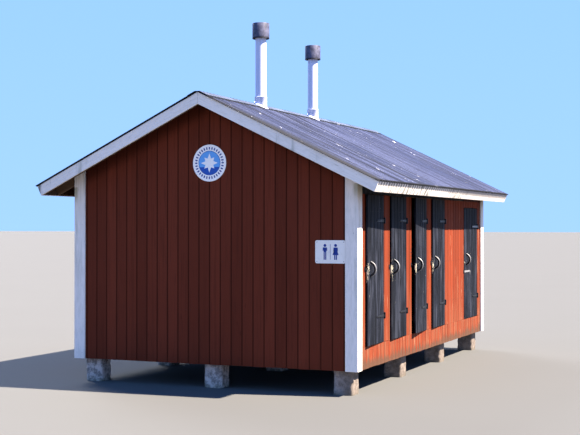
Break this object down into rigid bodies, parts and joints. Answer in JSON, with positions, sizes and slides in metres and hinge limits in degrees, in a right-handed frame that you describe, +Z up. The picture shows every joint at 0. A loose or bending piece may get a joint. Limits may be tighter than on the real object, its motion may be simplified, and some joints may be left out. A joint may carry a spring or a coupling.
{
  "type": "timber outbuilding with a row of doors",
  "caption": "Small timber outbuilding with a corrugated gable roof, plank doors along one long side and roof vents.",
  "frame": {"origin": "on the ground, in the middle of the roof's length and width", "axes": "+X out of the door side, +Y from the front gable to the rear gable, +Z up"},
  "size_m": [4.744, 6.68, 4.7901],
  "materials": {
    "red_boards": "painted rough-sawn boards",
    "tarred_boards": "tarred planks, matte",
    "white_boards": "weathered white paint",
    "bare_timber": "sawn softwood, unpainted",
    "pier_stone": "rough grey stone",
    "roof_sheet": "weathered blue-grey corrugated sheet",
    "vent_white": "white plastic pipe",
    "cowl_grey": "dull grey metal",
    "sign_plate": "white enamelled plate",
    "round_plate": "enamelled plate",
    "iron": "blackened iron"
  },
  "bodies": {
    "building": {"piers": "pier_stone", "long_sills": "bare_timber", "end_sills": "bare_timber", "floor_joists": "bare_timber", "floor_boards": "bare_timber", "front_frame": "bare_timber", "rear_frame": "bare_timber", "left_frame": "bare_timber", "door_posts": "bare_timber", "door_header_beam": "bare_timber", "wall_plates": "bare_timber", "collar_ties": "bare_timber", "ridge_beam": "bare_timber", "left_rafters": "bare_timber", "right_rafters": "bare_timber", "left_roof_boards": "bare_timber", "right_roof_boards": "bare_timber", "front_wall": "red_boards", "rear_wall": "red_boards", "left_wall": "red_boards", "door_wall_base": "red_boards", "door_wall_strips": "red_boards", "door_wall_panel": "red_boards", "door_wall_header": "red_boards", "left_roof_sheets": "roof_sheet", "right_roof_sheets": "roof_sheet", "ridge_cap": "roof_sheet", "front_bargeboards": "white_boards", "rear_bargeboards": "white_boards", "eave_fascias": "white_boards", "corner_boards": "white_boards", "front_vent_pipe": "vent_white", "rear_vent_pipe": "vent_white", "vent_collars": "vent_white", "front_vent_cowl": "cowl_grey", "rear_vent_cowl": "cowl_grey", "sign_plate": "sign_plate", "round_plate": "round_plate", "hinge_plates": "iron", "latch_keepers": "iron"},
    "door_1": {"door_1": "tarred_boards", "door_1_ironwork": "iron"},
    "door_2": {"door_2": "tarred_boards", "door_2_ironwork": "iron"},
    "door_3": {"door_3": "tarred_boards", "door_3_ironwork": "iron"},
    "door_4": {"door_4": "tarred_boards", "door_4_ironwork": "iron"},
    "door_5": {"door_5": "tarred_boards", "door_5_ironwork": "iron"}
  },
  "joints": [
    {"name": "door_1_hinge", "type": "hinge", "parent": "building", "child": "door_1", "pos_m": [1.974, -1.97, 0.576], "axis": [0, 0, 1], "range_deg": [-1.2, 118.8]},
    {"name": "door_2_hinge", "type": "hinge", "parent": "building", "child": "door_2", "pos_m": [1.974, -1.02, 0.576], "axis": [0, 0, 1], "range_deg": [0, 120]},
    {"name": "door_3_hinge", "type": "hinge", "parent": "building", "child": "door_3", "pos_m": [1.974, -0.07, 0.576], "axis": [0, 0, 1], "range_deg": [-4.5, 115.5]},
    {"name": "door_4_hinge", "type": "hinge", "parent": "building", "child": "door_4", "pos_m": [1.974, 0.88, 0.576], "axis": [0, 0, 1], "range_deg": [0, 165]},
    {"name": "door_5_hinge", "type": "hinge", "parent": "building", "child": "door_5", "pos_m": [1.974, 2.825, 0.576], "axis": [0, 0, 1], "range_deg": [0, 165]}
  ]
}
